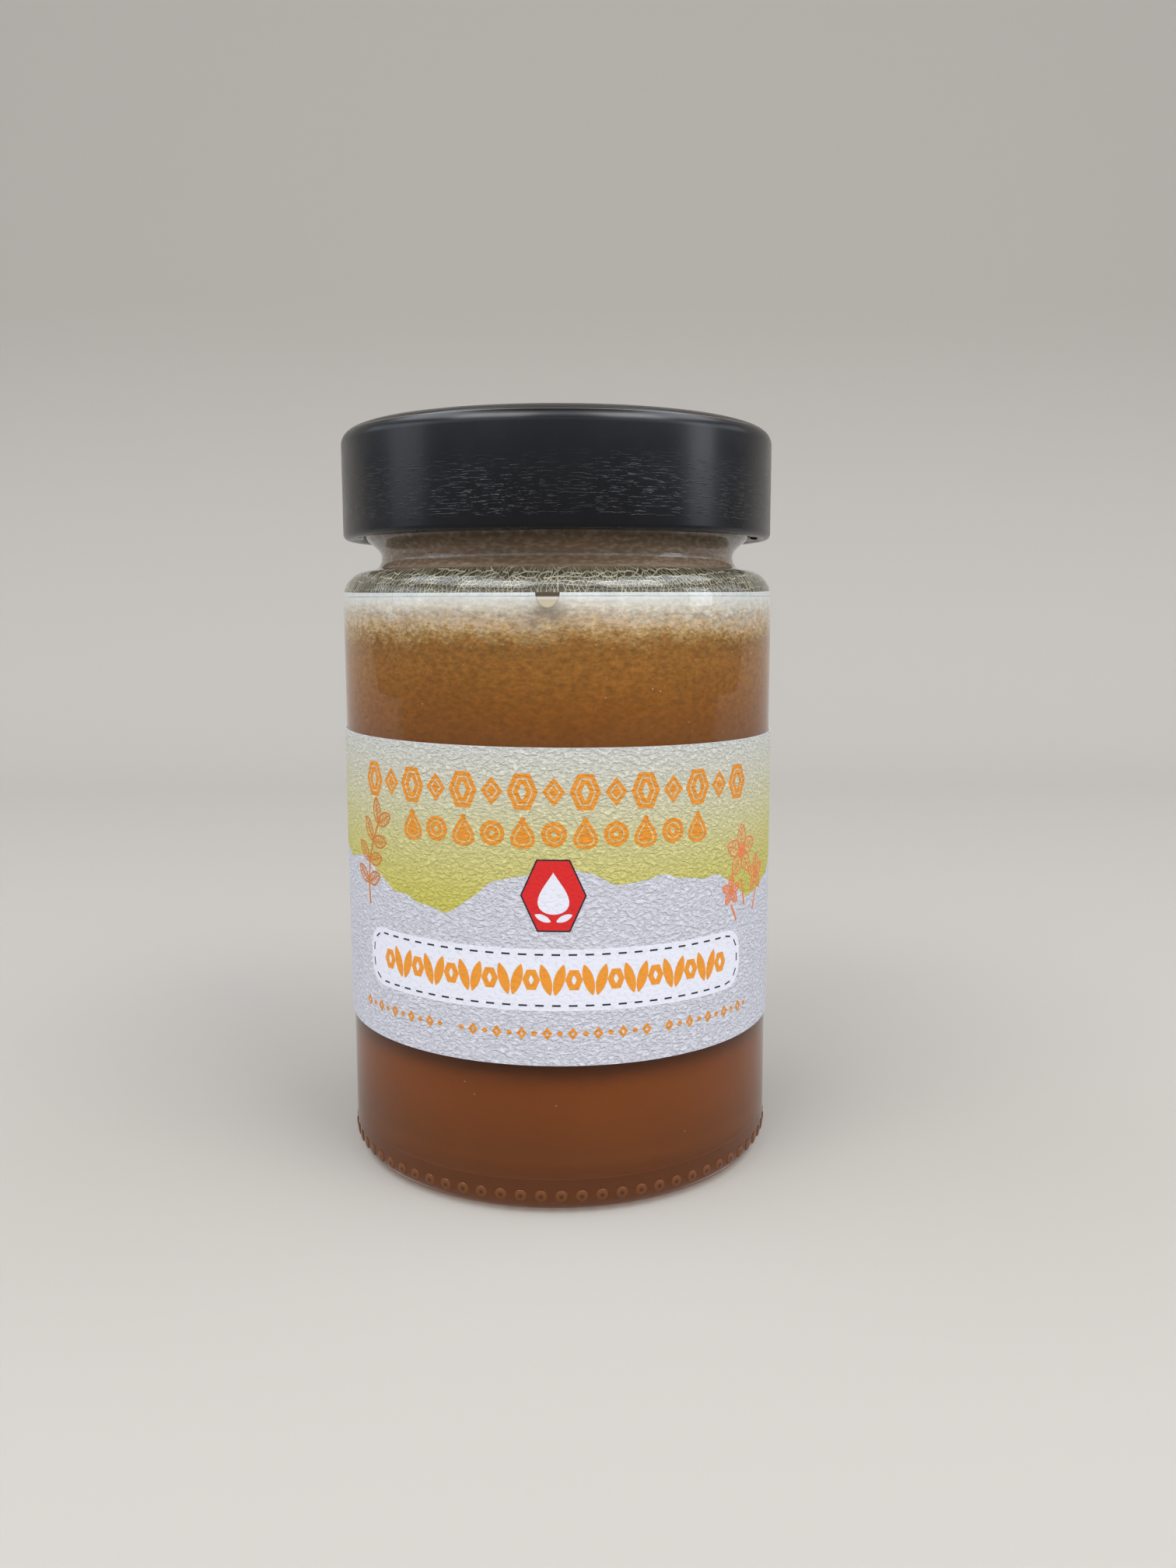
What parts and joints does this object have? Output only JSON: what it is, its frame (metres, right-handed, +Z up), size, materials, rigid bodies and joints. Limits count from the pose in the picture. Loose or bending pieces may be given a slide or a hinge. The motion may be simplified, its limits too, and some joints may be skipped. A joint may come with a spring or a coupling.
{
  "type": "honey confit jar",
  "caption": "Straight-sided twist-off glass jar filled with foamy lemon and honey confit, with a deep black metal lid and a wrap-around paper label.",
  "frame": {"origin": "centre of the base, on the surface that the jar stands on", "axes": "+Z up along the jar's axis; -Y towards the middle of the label; +X to the right when the label is seen from in front"},
  "size_m": [0.0706, 0.0703, 0.1178],
  "materials": {
    "clear_glass": "clear soda-lime glass, glossy",
    "black_lacquer": "semi-gloss black lacquer with a fine wrinkle low on the skirt",
    "felt_paper": "thick felt-marked paper, printed in yellow and orange",
    "honey_confit": "translucent grainy amber-brown confit",
    "pale_foam": "pale cream foam of very small bubbles"
  },
  "bodies": {
    "root": {"jar_glass": "clear_glass", "lid": "black_lacquer", "label": "felt_paper", "confit": "honey_confit", "foam": "pale_foam"}
  },
  "joints": []
}
